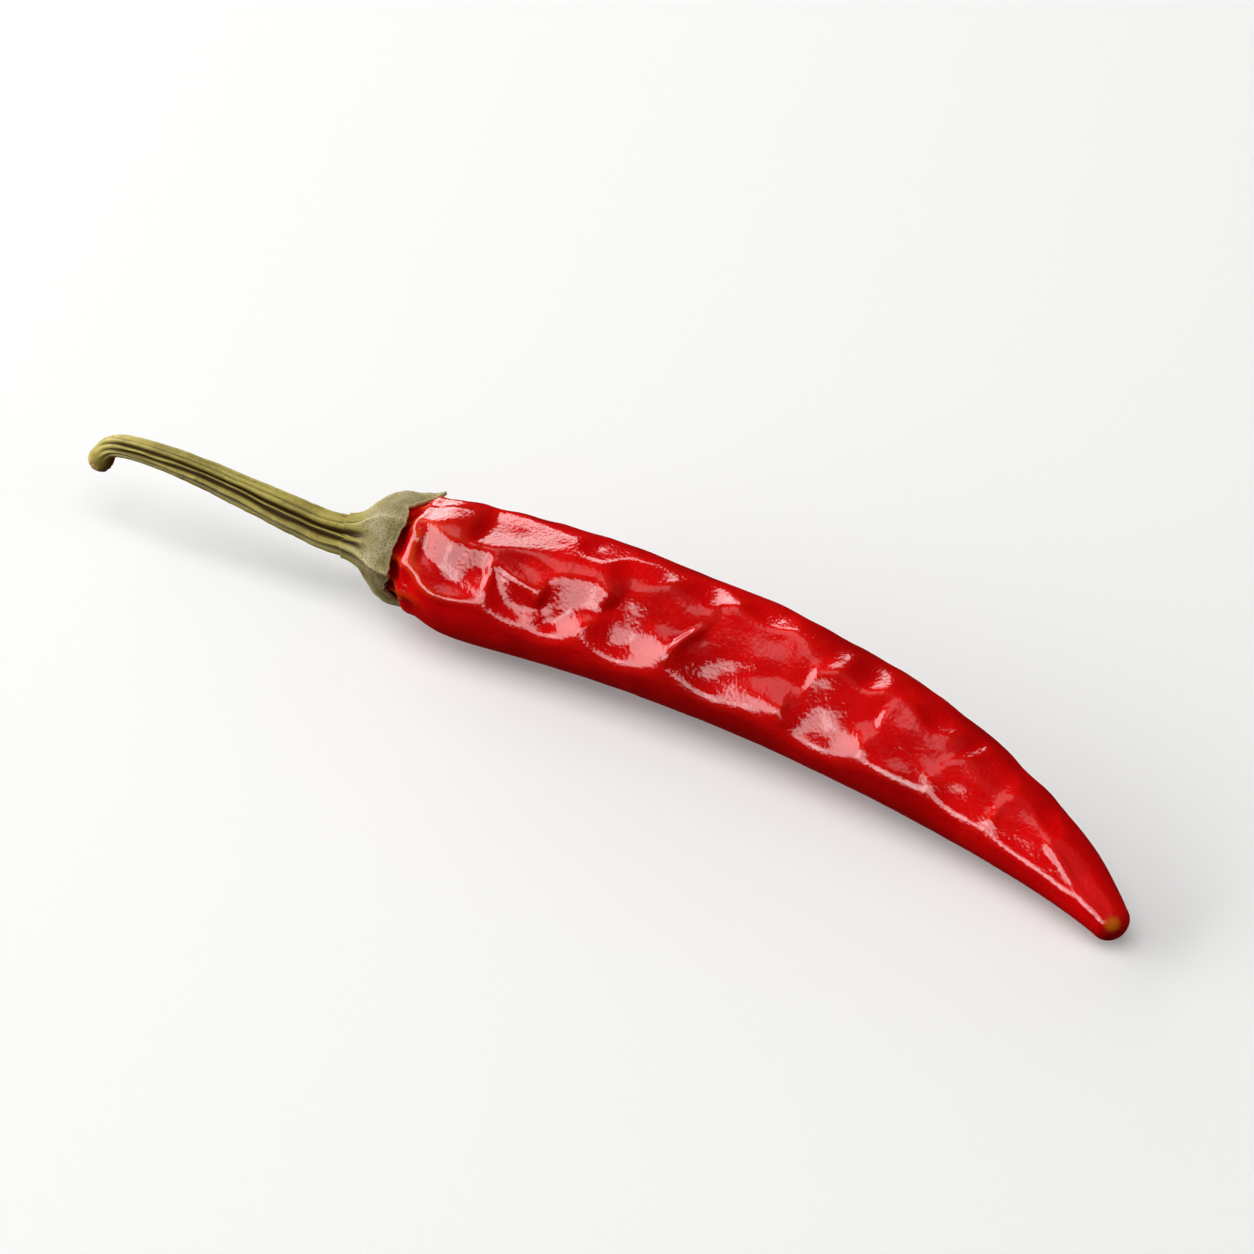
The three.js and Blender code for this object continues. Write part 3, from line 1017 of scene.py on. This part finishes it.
def calyx_tree(finish):
    sizes = {"Base width": 3.3, "Rim width": 8.5, "Vein height": 0.15}
    sizes |= {"Panel depth": 0.42, "Groove depth": 1.0}
    tree, _, (base, rim, vein_height, panel_depth, groove_depth) = start_tree("paper calyx", **sizes)
    grid, share, angle = rolled_grid(tree, rows=90, sides=241)
    stretches, bends, lines = [], [], []
    for degrees, length, half_width, outwards in TEETH:
        across = (angle - math.radians(degrees)).wrapped().size()
        tooth = (1 - across / math.radians(half_width)).at_least(0.0) ** POINTED
        stretches.append(tooth * length)
        bends.append(tooth * outwards)
        lines.append(across.bell(VEIN_WIDTH))
    reach, curl, vein = total_of(stretches), total_of(bends), total_of(lines)
    # The rim is ragged round the cup only, so its noise stays at station 0.
    ragged = noise_round(tree, share * 0.0, angle, 1.0, 5.5, 3) * 0.22
    rim_station = reach + ragged + RIM_BACK
    station = (rim_station - CALYX_BACK) * share + CALYX_BACK
    along = (station - CALYX_BACK) / -CALYX_BACK
    half = (base + (rim - base) * curve_of(tree, along, FLARE)) / 2
    # The six panels are flat, like the sides of a hexagon with the veins at its corners.
    across_panel = (angle - PANEL_MIDDLE).wrapped(math.pi / 6)
    flat_side = math.cos(math.pi / 6)
    panel = (across_panel.cosine() ** -1 * flat_side - 1) / (1 - flat_side)
    fullness = along.between(0.1, 0.5)
    wrinkle = noise_round(tree, station, angle, 0.9, 3.2, 4) * 0.09
    # The stalk's ribs and furrows run on into the cup and fade out there.
    depth = grooves(tree, station, angle, RIB_DEPTH, FURROW_DEPTH) * groove_depth * along.between(0.55, 0.05)
    relief = (panel * panel_depth + vein * vein_height + wrinkle) * fullness - depth * base / 2
    curled = curl * (station - RIM_BACK * 0.6).at_least(0.0) ** 1.5
    closing = (share / 0.02).at_most(1.0)
    radius = (half + relief + curled) * closing
    tube = stored(tree, rolled_up(tree, grid, station, radius, angle), "vein", vein)
    tube = stored(tree, tube, "groove", depth * GROOVE_TONE)
    end_tree(tree, laid(tree, tube), finish)
    return tree


def dry_calyx():
    """Grey-green paper with straw veins and edges, olive where it joins the stalk, and brown specks."""
    material, tree, shader = start_material("dry calyx")
    vein, groove, share = (marked(tree, name) for name in ("vein", "groove", "share"))
    grey, green, olive = (0.36, 0.30, 0.15), (0.26, 0.21, 0.06), (0.4, 0.33, 0.06)
    brown, straw = (0.075, 0.04, 0.012), (0.55, 0.47, 0.22)
    specks = noise(tree, 7.0, 4.0).between(0.48, 0.62, 0.0, 0.6) * share.between(0.1, 0.4)
    paint(tree, shader, green, [
        (noise(tree, 0.5, 4.0).between(0.4, 0.62), grey),
        (share.between(0.5, 0.1), olive),
        (groove.between(0.2, 0.9, 0.0, 0.92), brown),
        (vein * 0.6, straw),
        (specks, brown),
        (share.between(0.95, 1.0, 0.0, 0.7), straw),
    ])
    set_numbers(shader, {"Roughness": 0.75})
    bumped(tree, shader, noise(tree, 6.0, 4.0), 0.04, 0.7)
    return material


base = add_object("base", bpy.data.meshes.new("base"))
calyx = grown("calyx_cap", calyx_tree(dry_calyx()), base)
paper = calyx.modifiers.new("paper", "SOLIDIFY")
paper.thickness = PAPER * MM
paper.offset = -1.0

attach(calyx, "root")
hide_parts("calyx")

# %% [markdown]
# ## The studio
#
# A glossy thing is lit by what it mirrors, so each lamp has one job. The window stands low on the stalk's
# side and gives most of the light and the highlights. The back window and the edge light are there only to be
# mirrored, by the parts of the long crease that face them: if they lit the floor and the flesh too, the red
# would go pale. The overhead panel is dim and gives soft highlights. The fill from above and the tip fill,
# which reaches the pod's far end, lift the red and aren't mirrored. The floor is pale card. It isn't mirrored
# either, so that the pod's lower side stays a deep red.

# %% The floor
FLOOR_HALF = 3.0  # in metres, far past what the camera sees


def make_floor():
    mesh = bpy.data.meshes.new("floor")
    corners = [(x * FLOOR_HALF, y * FLOOR_HALF, 0) for x, y in ((-1, -1), (1, -1), (1, 1), (-1, 1))]
    mesh.from_pydata(corners, [], [(0, 1, 2, 3)])
    floor = add_object("floor", mesh)
    material, _, shader = start_material("pale card")
    set_numbers(shader, {"Base Color": (0.88, 0.88, 0.87, 1), "Roughness": 0.9})
    set_numbers(shader, {"Emission Color": (1, 1, 1, 1), "Emission Strength": 0.12})
    mesh.materials.append(material)
    floor.visible_glossy = False
    floor.visible_diffuse = False


make_floor()

# %% The lamps
LAMPS = [
    # name, azimuth, elevation, distance, width, height, radiance, is mirrored, gives spread light
    ("window", -82, 19, 0.6, 1.85, 0.37, 4.7, True, True),
    ("back window", -136, 31, 0.8, 0.4, 0.2, 4.6, True, False),
    ("edge light", -11, 20, 0.8, 0.56, 0.32, 4.6, True, False),
    ("overhead panel", -75, 62, 0.9, 0.5, 0.4, 1.1, True, True),
    ("fill", 10, 80, 0.9, 0.8, 0.8, 1.7, False, True),
    ("tip fill", 95, 32, 0.9, 0.6, 0.6, 1.3, False, True),
]
DIM_RED = (0.12, 0.006, 0.006, 1)  # what the skin mirrors where no lamp stands

low, high = (Vector(corner) for corner in cad_box)
middle = (low + high) / 2


def aim(thing, azimuth, elevation, distance):
    """Puts a lamp or the camera so far from the pepper, facing it. Azimuth runs from -Y towards +X."""
    a, e = math.radians(azimuth), math.radians(elevation)
    way = Vector((math.sin(a) * math.cos(e), -math.cos(a) * math.cos(e), math.sin(e)))
    thing.location = middle + way * distance
    thing.rotation_euler = (-way).to_track_quat("-Z", "Y").to_euler()


def softbox(name, azimuth, elevation, distance, width, height, radiance, mirrored, spread):
    """A rectangular lamp. It can be left out of mirrored or of spread light."""
    light = bpy.data.lights.new(name, "AREA")
    light.shape = "RECTANGLE"
    light.size, light.size_y = width, height
    light.energy = radiance * math.pi * width * height
    lamp = add_object(name, light)
    aim(lamp, azimuth, elevation, distance)
    lamp.visible_glossy = mirrored
    lamp.visible_diffuse = spread
    print(f"{name}: {light.energy:.1f} W")


for given in LAMPS:
    softbox(*given)
world = bpy.data.worlds.new("studio")
bpy.context.scene.world = world
world.use_nodes = True
world.node_tree.nodes["Background"].inputs["Color"].default_value = DIM_RED
world.cycles_visibility.diffuse = False

# %% The camera
CAMERA_AZIMUTH, CAMERA_ELEVATION, CAMERA_DISTANCE = 33, 40, 0.505
camera = add_object("camera", bpy.data.cameras.new("camera"))
camera.data.lens = 200
camera.data.clip_start = 0.01
aim(camera, CAMERA_AZIMUTH, CAMERA_ELEVATION, CAMERA_DISTANCE)
bpy.context.scene.camera = camera
bpy.context.scene.view_settings.view_transform = "Standard"
print(f"camera: {camera.data.lens:.0f} mm lens, {CAMERA_DISTANCE} m away")

# %% [markdown]
# ## Finishing
#
# The spine has done its work and isn't a piece of the pepper, so it goes.

# %% Put away what only helped
bpy.data.objects.remove(spine)
